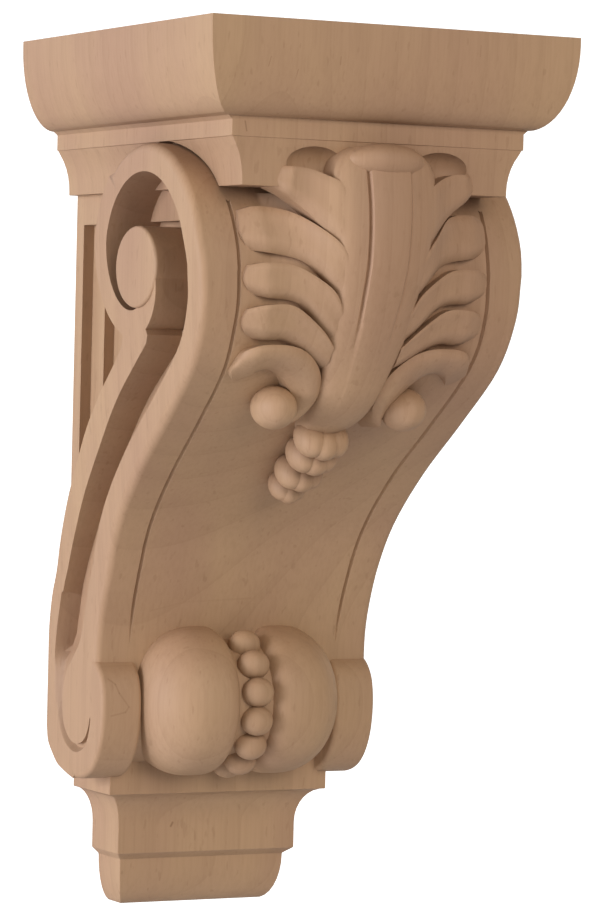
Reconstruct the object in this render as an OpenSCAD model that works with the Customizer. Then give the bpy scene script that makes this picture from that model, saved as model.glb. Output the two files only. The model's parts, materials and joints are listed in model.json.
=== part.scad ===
// Wooden corbel bracket: a scrolled shelf bracket carved from one block.
// X runs across the front, the wall lies at Y = 0, the front faces -Y and Z is up.
// Side-view outlines are lists of [depth from the wall, height above the bottom].

/* [Overall] */
// Width of the cap
corbel_w = 114; // [95:1:140]
// Depth of the cap from the wall
corbel_d = 127; // [120:1:155]
// Height from the bottom of the foot to the top of the cap
corbel_h = 254; // [211:1:310]

/* [Cap] */
// Straight edge at the top of the cap
cap_edge_h = 2; // [1:0.5:6]
// Height of the rounded moulding under that edge
ovolo_h = 24; // [16:1:28]
// Overhang of the rounded moulding
ovolo_out = 10.4; // [6:0.2:12]
// Small ledge under the rounded moulding
quirk = 1.2; // [0.5:0.1:2]
// Height of the plain fillet under the cap
fillet_h = 4.5; // [2:0.5:8]
// Height of the hollow under the fillet
cove_h = 13; // [8:1:16]
// Reach of the hollow at the sides
cove_side = 4; // [2:0.5:6]
// Reach of the hollow at the front
cove_front = 1.8; // [1:0.2:4]

/* [Scroll] */
// Width of the scroll at its foot
scroll_w_foot = 88; // [80:1:96]
// Width of the scroll at its top
scroll_w_top = 102.6; // [92:0.2:106]
// Height where the sides begin to flare
flare_start = 100; // [80:1:120]
// Radius of the upper scroll at its front
volute_r = 41.5; // [34:0.5:44]
// Radius that the upper scroll loses in one turn
volute_pitch = 31; // [28:0.5:32]
// Depth of the upper scroll's centre
volute_depth = 68.5; // [60:0.5:72]
// Distance of the upper scroll's centre below the top
volute_drop = 66.5; // [60:0.5:72]
// Radius of the upper scroll's eye
eye_r = 12.5; // [9:0.5:14]
// Width of the front band at the upper scroll
band_top = 8; // [5:0.5:9]
// Width of the front band at the foot
band_foot = 10; // [7:0.5:11]
// Width of the back band where it leaves the upper scroll
back_band_top = 7.5; // [5:0.5:9]
// Width of the back band at the foot
back_band_foot = 4.5; // [3:0.5:6]
// Slope of the bands at the bend, from level
bend_angle = 38; // [30:1:48]
// Height of the bend above the middle of the front curve
bend_rise = 9; // [0:1:14]
// Distance of the bend behind that middle
bend_back = 3; // [0:0.5:6]
// Depth of the front face just above the foot
waist_depth = 33.2; // [30:0.2:40]

/* [Sides] */
// Width of the core between the scrolls
core_w = 76.8; // [70:0.2:78]
// Plain strip of the core beside the wall
strip = 5.2; // [3:0.2:8]
// Depth of each step of the sunk panel
panel_step = 3.3; // [2:0.1:5]
// Distance between the two steps of the sunk panel
panel_inset = 8.6; // [5:0.2:12]

/* [Foot scroll and roll] */
// Radius of the lower scroll
foot_r = 19.3; // [16:0.1:20]
// Gap between the lower scroll and the wall
foot_gap = 0.4; // [0:0.1:2]
// Height of the lower scroll's centre
foot_z = 58; // [56:1:62]
// Radius of the lower scroll's eye
foot_eye_r = 11; // [8:0.5:12]
// Length of the lower scroll's round end in front of the body
drum_w = 10.8; // [6:0.2:12]
// Greatest radius of each bulb
bulb_r = 22; // [18:0.5:23]
// Depth of the bulbs' axis
bulb_depth = 31.5; // [28:0.5:33]
// Height of the bulbs' axis
bulb_z = 62.5; // [60:0.5:66]
// Gap between each bulb and the round end beside it
bulb_gap = 1.4; // [1:0.1:5]
// Radius of the bar that joins the bulbs to the round ends
roll_r = 12; // [9:0.5:13]
// Depth of that bar's axis
roll_depth = 24; // [20:0.5:26]
// Diameter of the beads
bead_d = 8; // [6:0.2:8.6]
// Distance of the beads' centres inside the bulbs' greatest radius
bead_sink = 2.5; // [1.5:0.1:4]

/* [Leaf] */
// Half width of the leaf's stem at its top
stem_w_top = 14.7; // [10:0.1:16]
// Half width of the leaf's stem at its base
stem_w_base = 7; // [4:0.5:9]
// Height of the stem over the front face
stem_rise = 15.5; // [11:0.5:18]
// Set-back of the stem's top behind its belly
stem_lean = 2.5; // [1:0.5:4]
// Distance from the upper scroll's centre down to the stem's tip
stem_drop = 42; // [38:1:46]
// Half width of the raised middle of the stem
rib_w = 6.4; // [4:0.2:8]
// Height of that middle over the rest of the stem
rib_rise = 1.5; // [0.5:0.1:3]
// Backward slope of the leaf's sides
leaf_slope = 12; // [9:1:15]
// Backward slope of the top pair of lobes
crown_slope = 5; // [4:1:12]
// Radius of the curl beside the stem
curl_r = 12.3; // [9:0.1:13]
// Width of that curl
curl_w = 5; // [3:0.1:6]
// Distance of the curl's centre from the middle
curl_x = 22.5; // [20:0.5:25]
// Distance of the curl's centre below the upper scroll's
curl_drop = 34; // [32:0.5:36]
// Radius of the ball inside the curl
curl_ball_r = 6.7; // [4:0.1:7]
// Radius of the largest berry of the pendant
berry_r = 4.3; // [3:0.1:5]

/* [Foot block] */
// Width of the block under the scroll
block_w = 71; // [64:0.5:74]
// Depth of the block under the scroll
block_d = 26.1; // [24:0.1:32]
// Height of the block's top
block_h = 41; // [40:0.5:46]
// Height of the block's top band
block_band_h = 6; // [4:0.5:8]
// Height of the block's hollow
block_cove_h = 11; // [8:0.5:13]
// Reach of the block's hollow at the sides
block_cove_side = 6.4; // [4:0.1:8]
// Reach of the block's hollow at the front
block_cove_front = 7.4; // [4:0.1:9]
// Height of the last step
toe_h = 14.3; // [10:0.1:15]
// Height of the slope above the last step
toe_slope_h = 2; // [1:0.5:4]
// Set-back of the last step at the sides
toe_side = 2.2; // [1:0.1:4]
// Set-back of the last step at the front
toe_front = 3.1; // [1:0.1:4]
// Roundness of the underside at the sides
toe_round_side = 4.5; // [2:0.1:6]
// Roundness of the underside at the front
toe_round_front = 8.5; // [4:0.1:10]

/* [Hidden] */

$fn = 48;
over = 1;            // overlap between joined volumes
curve_steps = 8;     // straight pieces in one curve of a profile
coil_step = 15;      // degrees between points of the scrolls
handle = 0.3;        // length of a curve's handles as a share of its chord
cove_start = 35;     // angle where a hollow starts, from level
cove_share = 0.9;    // part of that hollow's height above its small step
edge_ease = 1;       // eased top edge of the cap
groove_from = 110;   // angles of the groove round the lower scroll's eye
groove_to = 290;
eye_shift = [-0.8, 3];   // that eye from the lower scroll's centre
beads_from = 60;     // angles of the first and last bead, and between two
beads_to = -96;
bead_turn = 26;
down = [0, -1];

// ---- Small helpers ----
function unit(v) = v / norm(v);
function turned(v) = [-v[1], v[0]];
function last(pts) = pts[len(pts) - 1];
function reversed(pts) = [for (i = [len(pts) - 1 : -1 : 0]) pts[i]];
function mirrored(pts) = concat(pts, [for (p = reversed(pts)) [-p[0], p[1]]]);
function bezier(a, b, c, d) = [
    for (i = [1 : curve_steps]) let (t = i / curve_steps, s = 1 - t)
        s * s * s * a + 3 * s * s * t * b + 3 * s * t * t * c + t * t * t * d];
// A curve that leaves a along u and arrives at d along v
function sweep(a, u, v, d, share = handle) = let (reach = share * norm(d - a))
    bezier(a, a + reach * unit(u), d - reach * unit(v), d);
function tangent(pts, i) = unit(pts[min(i + 1, len(pts) - 1)] - pts[max(i - 1, 0)]);
// A curve beside another, w0 away at its start and w1 at its end
function beside(pts, w0, w1) = [
    for (i = [0 : len(pts) - 1]) let (w = w0 + (w1 - w0) * i / (len(pts) - 1))
        pts[i] + w * turned(tangent(pts, i))];

// A side-view outline carried across from x0 to x1
module across(outline, x0, x1) {
    translate([x0, 0, 0]) rotate([90, 0, 90])
        linear_extrude(x1 - x0) polygon([for (p = outline) [-p[0], p[1]]]);
}

// A front-view outline carried forwards from the wall
module forwards(outline) {
    rotate([90, 0, 0]) linear_extrude(corbel_d + over) polygon(outline);
}

// A round bar across the bracket at a side-view point
module bar(centre, r, half_w) {
    translate([-half_w, -centre[0], centre[1]]) rotate([0, 90, 0]) cylinder(r = r, h = 2 * half_w);
}

// A moulding that returns along both sides, from levels of [height, half width, depth]
module mitred(levels) {
    intersection() {
        forwards(mirrored([for (l = levels) [l[1], l[0]]]));
        across(concat([[0, levels[0][0]]], [for (l = levels) [l[2], l[0]]],
                      [[0, last(levels)[0]]]), -cap_w - over, cap_w + over);
    }
}

module both_sides() {
    children();
    mirror([1, 0, 0]) children();
}

// ---- Cap, fillet, hollow and neck ----
cap_w = corbel_w / 2;
fillet_top = corbel_h - cap_edge_h - ovolo_h - over;
fillet_bottom = fillet_top - fillet_h;
neck_bottom = fillet_bottom - cove_h;
fillet_w = cap_w - ovolo_out - quirk;
fillet_d = corbel_d - ovolo_out;

function hollow(a) = (sin(a) - sin(cove_start)) / (1 - sin(cove_start));
function hollow_drop(a) = 1 - cos(a) / cos(cove_start);

cap_levels = concat(
    [[corbel_h, cap_w - edge_ease, corbel_d - edge_ease],
     [corbel_h - edge_ease, cap_w, corbel_d]],
    [for (a = [0 : 10 : 90])
        [corbel_h - cap_edge_h - ovolo_h * sin(a),
         cap_w - ovolo_out * (1 - cos(a)), corbel_d - ovolo_out * (1 - cos(a))]],
    [[fillet_top, fillet_w, fillet_d], [fillet_bottom, fillet_w, fillet_d]],
    [for (a = [cove_start + 11 : 11 : 90])
        [fillet_bottom - cove_h * hollow_drop(a) * cove_share,
         fillet_w - cove_side * hollow(a), fillet_d - cove_front * hollow(a)]],
    [[neck_bottom, fillet_w - cove_side, fillet_d - cove_front]]);

module cap() {
    mitred(cap_levels);
}

// ---- Curves of the scroll, as seen from the side ----
volute = [volute_depth, corbel_h - volute_drop];
foot = [foot_r + foot_gap, foot_z];
foot_top = foot_z + foot_r;
front_depth = volute_depth + volute_r;
bend_dir = [-cos(bend_angle), -sin(bend_angle)];

function coil(a, inset) = volute + (volute_r - volute_pitch * a / 360 - inset) * [cos(a), sin(a)];
function coil_from(a0, inset) = [for (a = [a0 : -coil_step : -coil_step]) coil(a, inset)];

coil_last = coil(-coil_step, 0);
waist = [waist_depth, foot_top];
bend = (coil_last + waist) / 2 + [-bend_back, bend_rise];
front_curve = concat(sweep(coil_last, coil_last - coil(0, 0), bend_dir, bend),
                     sweep(bend, bend_dir, down, waist), [[waist_depth, foot_z]]);
front_band = concat(coil_from(330, 0), front_curve,
                    reversed(beside(front_curve, -band_top, -band_foot)),
                    reversed(coil_from(330, band_top)));

back_start = volute - [0, eye_r + over];
back_end = [0, foot_top + back_band_top];
back_curve = concat([back_start], sweep(back_start, bend_dir, down, back_end), [[0, foot_z]]);
back_band = concat(back_curve, reversed(beside(back_curve, back_band_top, back_band_foot)));

// Depth of the front face at a height
face_table = [for (p = concat(coil_from(60, 0), front_curve)) [p[1], p[0]]];
function face_depth(z) = lookup(z, face_table);

// ---- Scroll body ----
flare_end = volute[1] + band_top;

module flare() {
    forwards(mirrored([[scroll_w_foot / 2, 0], [scroll_w_foot / 2, flare_start],
                       [scroll_w_top / 2, flare_end], [scroll_w_top / 2, corbel_h]]));
}

// Groove that tapers round the lower scroll's eye
module foot_groove() {
    turns = [for (a = [groove_from : 10 : groove_to]) a];
    spread = back_band_foot / (groove_to - groove_from);
    eye = foot + eye_shift;
    floor_w = core_w / 2 + panel_step;
    outline = concat(
        [for (a = turns) eye + foot_eye_r * [cos(a), sin(a)]],
        [for (a = reversed(turns))
            eye + (foot_eye_r + spread * (groove_to - a)) * [cos(a), sin(a)]]);
    both_sides() across(outline, floor_w, cap_w);
}

module bands() {
    half_w = cap_w - over;
    intersection() {
        flare();
        union() {
            across(front_band, -half_w, half_w);
            across(back_band, -half_w, half_w);
            bar(volute, eye_r, half_w);
            difference() {
                bar(foot, foot_r, half_w);
                foot_groove();
            }
        }
    }
}

// Two sunk steps in each side of the core, from the wall strip to behind the front band
module sunk_panels() {
    panel_top = neck_bottom - panel_inset;
    far = front_depth - band_top * 2;
    for (i = [0, 1]) let (
            near = strip + i * panel_inset,
            low = [for (p = beside(back_curve, over, over)) if (p[0] > near) p],
            outline = concat([[near, panel_top - i * panel_inset], [far, panel_top - i * panel_inset],
                              [far, back_start[1]]], low, [[near, last(low)[1] - over]]))
        both_sides() across(outline, core_w / 2 - panel_step * (i + 1), core_w);
}

module core() {
    difference() {
        across(concat([[0, foot_z], [0, neck_bottom + over]], coil_from(90, 0), front_curve),
               -core_w / 2, core_w / 2);
        sunk_panels();
    }
}

// ---- Roll across the foot ----
drum_in = scroll_w_foot / 2 - drum_w;

module bulb() {
    inner = bead_d / 2 + 0.5;
    outer = drum_in - bulb_gap;
    peak = inner + (outer - inner) / 3;
    root_r = bulb_r / 3;
    swell = bulb_r - root_r;
    outline = concat(
        [[0, inner]],
        [for (a = [90 : -15 : 0])
            [root_r + swell * sqrt(cos(a)), peak - (peak - inner) * sqrt(sin(a))]],
        [for (a = [10 : 10 : 90]) [root_r + swell * cos(a), peak + (outer - peak) * sin(a)]],
        [[0, outer]]);
    rotate([0, 90, 0]) rotate_extrude() polygon(outline);
}

module roll() {
    bar([roll_depth, foot_z], roll_r, drum_in);
    bar([bulb_depth, bulb_z], bulb_r * 3 / 4, bead_d);   // carries the beads
    translate([0, -bulb_depth, bulb_z]) {
        both_sides() bulb();
        for (a = [beads_from : -bead_turn : beads_to])
            rotate([-a, 0, 0]) translate([0, bead_sink - bulb_r, 0]) sphere(d = bead_d);
    }
}

// ---- Leaf on the front face ----
stem_tip_z = volute[1] - stem_drop;
stem_belly = [front_depth + stem_rise - rib_rise, volute[1] + eye_r];
stem_top = [stem_belly[0] - stem_lean, fillet_bottom - 2 * over];
stem_tip = [face_depth(stem_tip_z) + stem_rise, stem_tip_z];
leaf_curve = concat([stem_top], sweep(stem_top, down, down, stem_belly),
                    sweep(stem_belly, down, bend_dir + down / 2, stem_tip, 0.42));
leaf_back = volute_depth;   // the leaf's volumes start this deep in the body
leaf_outline = concat(leaf_curve, [[leaf_back, stem_tip[1]], [leaf_back, leaf_curve[0][1]]]);
rib_curve = [for (p = leaf_curve) p + [rib_rise, 0]];
rib_outline = concat(rib_curve, [[leaf_back, stem_tip[1]], [leaf_back, leaf_curve[0][1]]]);

// Each lobe: root top, root foot, tip top, tip foot as [half width, height from the scroll's centre]
crown_lobe = [[14, 23.5], [13.5, 5.5], [29.5, 27.5], [31.5, 20.5]];
side_lobes = [
    [[13.5, 5.5], [12, -9.5], [38.5, 16.5], [36, 2.5]],
    [[12, -9.5], [12, -19], [37, 1], [35, -9.5]],
    [[12, -19], [12, -29], [36.5, -10], [34, -21]]];

function lobe(c) = let (at = [for (p = c) p + [0, volute[1]]], mid = [rib_w, volute[1] - eye_r])
    concat([mid, at[0]], sweep(at[0], [2, 3], [3, -1], at[2], 0.4), [at[3]],
           sweep(at[3], [-3, 0], [-1, -3], at[1], 0.4));

module sloped(angle) {
    translate([0, -front_depth - stem_rise, 0]) rotate([0, 0, angle])
        translate([0, front_depth + stem_rise, 0]) across(leaf_outline, -over, cap_w);
}

module lobes() {
    intersection() {
        sloped(crown_slope);
        forwards(lobe(crown_lobe));
    }
    intersection() {
        sloped(leaf_slope);
        union() for (c = side_lobes) forwards(lobe(c));
    }
}

// Curl beside the stem, with a ball in its hollow
module curl() {
    centre = [curl_x, volute[1] - curl_drop];
    ball_z = centre[1] - curl_r / 3;
    turns = [for (a = [35 : 15 : 215]) [cos(a), sin(a)]];
    intersection() {
        sloped(leaf_slope);
        forwards(concat([for (t = turns) centre + curl_r * t],
                        [for (t = reversed(turns)) centre + (curl_r - curl_w) * t]));
    }
    translate([curl_x - curl_w / 3, -face_depth(ball_z) - curl_ball_r * 5 / 6, ball_z])
        sphere(r = curl_ball_r);
}

module stem() {
    stem_half = [[stem_w_base, stem_tip[1]], [(stem_w_base + 2 * stem_w_top) / 3, stem_belly[1] - 2 * eye_r],
                 [stem_w_top, stem_top[1]]];
    intersection() {
        across(leaf_outline, -cap_w, cap_w);
        forwards(mirrored(stem_half));
    }
    intersection() {
        across(rib_outline, -cap_w, cap_w);
        forwards(mirrored([[rib_w - over, stem_tip[1]], [rib_w, leaf_curve[0][1]]]));
    }
}

// Rows of berries that hang from the stem, smaller towards the tip
module pendant() {
    for (row = [0 : 3]) let (
            r = berry_r * (1 - row * 0.1),
            z = stem_tip_z - berry_r - row * berry_r * 1.35)
        for (i = [-1 : 1])
            translate([i * (r - row * 0.5), -face_depth(z) - r * (1.3 - abs(i) * 0.5), z])
                sphere(r = r);
}

module leaf() {
    both_sides() {
        lobes();
        curl();
    }
    stem();
    pendant();
}

// ---- Stepped block under the scroll ----
band_w = block_w / 2 - block_cove_side;
band_d = block_d - block_cove_front;
cove_top = block_h - block_band_h;

block_levels = concat(
    [for (a = [90 : -15 : 0])
        [toe_h * (1 - sin(a)), band_w - toe_side - toe_round_side * (1 - cos(a)),
         band_d - toe_front - toe_round_front * (1 - cos(a))]],
    [[toe_h + toe_slope_h, band_w, band_d], [cove_top - block_cove_h, band_w, band_d]],
    [for (a = [75 : -15 : 0])
        [cove_top - block_cove_h * (1 - cos(a)), block_w / 2 - block_cove_side * sin(a),
         block_d - block_cove_front * sin(a)]],
    [[foot_z, block_w / 2, block_d]]);

module foot_block() {
    mitred(block_levels);
}

module corbel() {
    color("burlywood") translate([0, 0, -corbel_h / 2]) {
        cap();
        core();
        bands();
        roll();
        leaf();
        foot_block();
    }
}

corbel();
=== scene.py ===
"""Carved maple corbel bracket: its mouldings, scrolls, roll and leaf, finished as sanded raw wood."""

import json
from math import acos, atan2, cos, pi, radians, sin

import bmesh
import bpy
from bpy.props import FloatProperty, FloatVectorProperty, PointerProperty
from mathutils import Matrix, Vector

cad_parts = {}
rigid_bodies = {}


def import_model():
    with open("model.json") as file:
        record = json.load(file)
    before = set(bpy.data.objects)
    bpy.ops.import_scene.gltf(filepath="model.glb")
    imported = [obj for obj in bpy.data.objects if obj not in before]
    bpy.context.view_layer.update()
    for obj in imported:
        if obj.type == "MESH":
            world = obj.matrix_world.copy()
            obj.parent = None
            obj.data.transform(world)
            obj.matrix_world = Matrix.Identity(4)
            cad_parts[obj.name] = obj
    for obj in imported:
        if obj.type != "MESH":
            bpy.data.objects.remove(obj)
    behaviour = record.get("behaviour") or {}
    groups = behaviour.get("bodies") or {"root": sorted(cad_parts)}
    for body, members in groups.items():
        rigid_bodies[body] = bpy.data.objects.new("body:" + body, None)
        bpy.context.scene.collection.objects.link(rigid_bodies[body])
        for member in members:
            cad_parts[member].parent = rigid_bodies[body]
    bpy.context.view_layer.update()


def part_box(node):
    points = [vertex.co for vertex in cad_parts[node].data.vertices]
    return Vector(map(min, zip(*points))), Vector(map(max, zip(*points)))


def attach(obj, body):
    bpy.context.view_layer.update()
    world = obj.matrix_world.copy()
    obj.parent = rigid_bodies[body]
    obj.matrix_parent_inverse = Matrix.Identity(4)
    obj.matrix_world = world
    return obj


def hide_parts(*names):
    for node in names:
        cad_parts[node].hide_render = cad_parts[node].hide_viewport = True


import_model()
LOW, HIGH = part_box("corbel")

bl_info = {
    "name": "Carved corbel",
    "version": (1, 0, 0),
    "blender": (4, 5, 0),
    "location": "View3D > Sidebar > Corbel",
    "description": "Models a carved wooden corbel bracket and the stage it is shown on",
    "category": "Add Mesh",
}

MM = 0.001
WALL = HIGH.y  # the back face, against the wall
TALL = (HIGH.z - LOW.z) / MM


# ---------------------------------------------------------------- sizes and colours


def length(name, description, millimetres):
    """A length, given in millimetres and kept in metres"""
    return FloatProperty(name=name, description=description, default=millimetres * MM, min=0.0, unit="LENGTH")


def angle(name, description, degrees):
    """An angle, given in degrees"""
    return FloatProperty(name=name, description=description, default=radians(degrees), subtype="ANGLE")


def colour(name, description, value):
    """A linear colour of red, green and blue"""
    return FloatVectorProperty(name=name, description=description, default=value, size=3, subtype="COLOR")


class CorbelSizes(bpy.types.PropertyGroup):
    edge: length("Cap edge", "Straight edge at the top of the cap", 2.0)
    ovolo: length("Cap moulding", "Height of the large rounded moulding", 24.0)
    overhang: length("Cap overhang", "Overhang of the large rounded moulding", 10.4)
    ledge: length("Cap ledge", "Small ledge under the rounded moulding", 1.2)
    fillet: length("Fillet", "Height of the plain fillet under the cap", 4.5)
    hollow: length("Hollow", "Height of the hollow under the fillet", 13.0)
    neck_width: length("Neck width", "Width of the neck under the hollow", 82.4)
    neck_depth: length("Neck depth", "Depth of the neck under the hollow", 114.9)
    scroll_width: length("Scroll width", "Width of the scroll at its top", 102.6)
    foot_width: length("Foot width", "Width of the scroll at its foot", 89.0)
    core_width: length("Core width", "Width of the body between the scrolls", 76.8)
    volute: length("Volute", "Radius of the upper scroll at its front", 41.5)
    volute_loss: length("Volute loss", "Radius that the upper scroll loses in one turn", 29.6)
    volute_depth: length("Volute depth", "Distance of the upper scroll's centre from the wall", 68.5)
    volute_height: length("Volute height", "Height of the upper scroll's centre above the bottom", 187.5)
    eye: length("Eye", "Radius of the upper scroll's eye, half its depth", 13.3)
    eye_height: length("Eye height", "Half the height of the upper scroll's eye", 11.5)
    band: length("Band", "Width of the front band at the upper scroll", 8.0)
    band_foot: length("Band at the foot", "Width of the front band at the foot", 10.0)
    rounding: length("Band rounding", "Rounding of the front band's outer edges", 2.4)
    groove: length("Groove", "Width of the cut lines down the front", 1.7)
    drum_width: length("Drum width", "Width of the lower scroll's round end", 12.9)
    roll: length("Roll", "Radius of the bar between the round ends", 17.0)
    bulb: length("Bulb", "Greatest radius of each bulb", 22.0)
    bead: length("Bead", "Diameter of each bead", 8.0)
    stem_rise: length("Stem ridge", "Height of the stem's middle over its edges", 4.6)
    ball: length("Ball", "Radius of the ball in each curl", 6.1)
    berry: length("Berry", "Radius of the pendant's largest berries", 4.7)


class CorbelFinish(bpy.types.PropertyGroup):
    wood: colour("Maple", "Colour of the sanded wood", (0.390, 0.239, 0.132))
    pink: colour("Pink maple", "Colour of the wood's pinker parts", (0.345, 0.200, 0.118))
    growth: colour("Growth lines", "Colour of the growth lines", (0.200, 0.104, 0.050))
    ring_gap: length("Ring spacing", "Distance between growth lines", 9.0)
    roughness: FloatProperty(
        name="Roughness", description="Roughness of the sanded surface", default=0.62, min=0.0, max=1.0,
        subtype="FACTOR",
    )


class CorbelStage(bpy.types.PropertyGroup):
    azimuth: angle("Azimuth", "How far round to the left the camera stands", 27.2774)
    elevation: angle("Elevation", "How far down the camera looks", 1.41266)
    roll: angle("Roll", "Tilt of the camera", -1.38476)
    distance: length("Distance", "Distance of the camera from its target", 1139.521)
    aim_right: length("Aim right", "How far to the right of the bracket's middle the camera aims", 4.5446)
    aim_up: length("Aim up", "How far above the bracket's middle the camera aims", 7.464)
    lens: FloatProperty(name="Lens", description="Focal length in millimetres", default=156.3791)
    drop: length("Floor drop", "Distance from the bracket down to the floor", 900)


def sizes():
    """The sizes in millimetres, by name"""
    group = bpy.context.scene.corbel_sizes
    return {name: getattr(group, name) / MM for name in CorbelSizes.__annotations__}


# ---------------------------------------------------------------- points and curves
# Side-view points are (depth from the wall, height above the bottom), in millimetres.


def spot(x, depth, height):
    """Place in the frame, in metres, of a point given in millimetres"""
    return Vector((x * MM, WALL - depth * MM, LOW.z + height * MM))


def smooth(points, steps=5):
    """Curve through the points, with steps pieces between two of them"""
    p = [Vector(q) for q in points]
    p = [2 * p[0] - p[1]] + p + [2 * p[-1] - p[-2]]
    curve = []
    for a, b, c, d in zip(p, p[1:], p[2:], p[3:]):
        for i in range(steps):
            t = i / steps
            square = (2 * a - 5 * b + 4 * c - d) * t**2
            cube = (3 * b - a - 3 * c + d) * t**3
            curve.append(0.5 * (2 * b + (c - a) * t + square + cube))
    return curve + [p[-2]]


def even(points, count):
    """The same curve with count points, evenly spaced along it"""
    run = [0.0]
    for a, b in zip(points, points[1:]):
        run.append(run[-1] + (b - a).length)
    found = []
    i = 0
    for k in range(count):
        at = run[-1] * k / (count - 1)
        while i < len(run) - 2 and run[i + 1] < at:
            i += 1
        found.append(points[i].lerp(points[i + 1], (at - run[i]) / (run[i + 1] - run[i])))
    return found


def beside(points, first, last):
    """Curve beside another, first away at its start and last away at its end"""
    found = []
    for i, p in enumerate(points):
        along = (points[min(i + 1, len(points) - 1)] - points[max(i - 1, 0)]).normalized()
        found.append(p + Vector((-along.y, along.x)) * (first + (last - first) * i / (len(points) - 1)))
    return found


def table(points):
    """Function that reads a value at a place between the points' places"""
    points = sorted(points)

    def read(at):
        if at <= points[0][0]:
            return points[0][1]
        for (a, va), (b, vb) in zip(points, points[1:]):
            if at <= b:
                return va + (vb - va) * (at - a) / (b - a) if b > a else vb
        return points[-1][1]

    return read


def ease(t):
    """Smooth step from 0 to 1"""
    t = min(max(t, 0.0), 1.0)
    return t * t * (3 - 2 * t)


def coil(s, angle, inset=0.0):
    """Point of the upper scroll, with the angle counted from its front"""
    r = s["volute"] - s["volute_loss"] * angle / 360 - inset
    return Vector((s["volute_depth"] + r * cos(radians(angle)), s["volute_height"] + r * sin(radians(angle))))


def front_curve(s):
    """The front face's double curve, from the upper scroll down to the roll"""
    return smooth([
        coil(s, 0), (109.0, 175), (101.3, 160.5), (83, 145), (63, 129.5), (47.8, 114), (39.5, 99), (34.2, 84),
        (33.2, 70),
    ])


def face_at(s):
    """Function that gives the front face's depth at a height"""
    turn = [coil(s, a) for a in range(60, 0, -5)]
    return table([(p.y, p.x) for p in turn + front_curve(s)])


def half_width(s):
    """Function that gives the scroll's half width at a height: it flares towards the top"""
    return table([(100, s["foot_width"] / 2), (195, s["scroll_width"] / 2)])


# ---------------------------------------------------------------- modelling helpers


def deselect():
    """Leave edit mode and select nothing"""
    if bpy.context.object and bpy.context.object.mode != "OBJECT":
        bpy.ops.object.mode_set(mode="OBJECT")
    bpy.ops.object.select_all(action="DESELECT")


def pick(piece):
    """Select this piece alone"""
    deselect()
    piece.select_set(True)
    bpy.context.view_layer.objects.active = piece


def added(name):
    """The primitive that was just added, with a name"""
    piece = bpy.context.object
    piece.name = piece.data.name = name
    return piece


def close_up(piece):
    """Merge what lies together and turn all faces outwards"""
    pick(piece)
    bpy.ops.object.mode_set(mode="EDIT")
    bpy.ops.mesh.select_all(action="SELECT")
    bpy.ops.mesh.remove_doubles(threshold=0.001 * MM)
    bpy.ops.mesh.normals_make_consistent(inside=False)
    bpy.ops.object.mode_set(mode="OBJECT")
    return piece


def draw_out(piece, move):
    """Extrude the whole sheet into a solid. The moved points are left selected."""
    pick(piece)
    bpy.ops.object.mode_set(mode="EDIT")
    bpy.ops.mesh.select_all(action="SELECT")
    bpy.ops.mesh.extrude_region_move(TRANSFORM_OT_translate={"value": move})
    bpy.ops.object.mode_set(mode="OBJECT")
    return piece


def sheet(name, columns, rows, place):
    """A grid with its points placed by place(column, row)"""
    deselect()
    bpy.ops.mesh.primitive_grid_add(x_subdivisions=columns, y_subdivisions=rows, size=1)
    piece = added(name)
    for v in piece.data.vertices:
        v.co = place(round((v.co.x + 0.5) * columns), round((v.co.y + 0.5) * rows))
    return piece


def plate(name, outline, x0, x1):
    """A flat side-view outline, extruded across from x0 to x1"""
    deselect()
    bpy.ops.mesh.primitive_circle_add(vertices=len(outline), fill_type="NGON")
    piece = added(name)
    for v, p in zip(piece.data.vertices, outline):
        v.co = spot(x0, *p)
    return close_up(draw_out(piece, ((x1 - x0) * MM, 0, 0)))


def rounded(place):
    """A place that can be compared with others"""
    return tuple(round(c, 7) for c in place)


def bar(name, outer, inner, width, rounding=0.0, soft=()):
    """A bar across the bracket between two side-view curves. Its side edges are rounded along the
    soft points of the outer curve."""
    lines = (outer, inner)
    piece = sheet(name, len(outer) - 1, 1, lambda i, j: spot(-1, *lines[j][i]))
    edge = piece.vertex_groups.new(name="outer")
    near = {rounded(spot(-1, *p)) for p in soft}
    edge.add([v.index for v in piece.data.vertices if rounded(v.co) in near], 1.0, "REPLACE")
    draw_out(piece, (2 * MM, 0, 0))
    for v in piece.data.vertices:
        v.co.x = (1 if v.co.x > 0 else -1) * width((v.co.z - LOW.z) / MM) * MM
    close_up(piece)
    if rounding:
        bpy.ops.object.mode_set(mode="EDIT")
        bpy.ops.mesh.select_all(action="DESELECT")
        bpy.ops.mesh.select_mode(type="EDGE")
        mesh = bmesh.from_edit_mesh(piece.data)
        marks = mesh.verts.layers.deform.verify()
        for e in mesh.edges:
            a, b = e.verts
            e.select_set(edge.index in a[marks] and edge.index in b[marks] and a.co.x * b.co.x > 0)
        bmesh.update_edit_mesh(piece.data)
        bpy.ops.mesh.bevel(offset=rounding * MM, segments=4, profile=0.5, affect="EDGES", clamp_overlap=False)
        bpy.ops.mesh.select_mode(type="VERT")
        bpy.ops.object.mode_set(mode="OBJECT")
    piece.vertex_groups.clear()
    return piece


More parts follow.
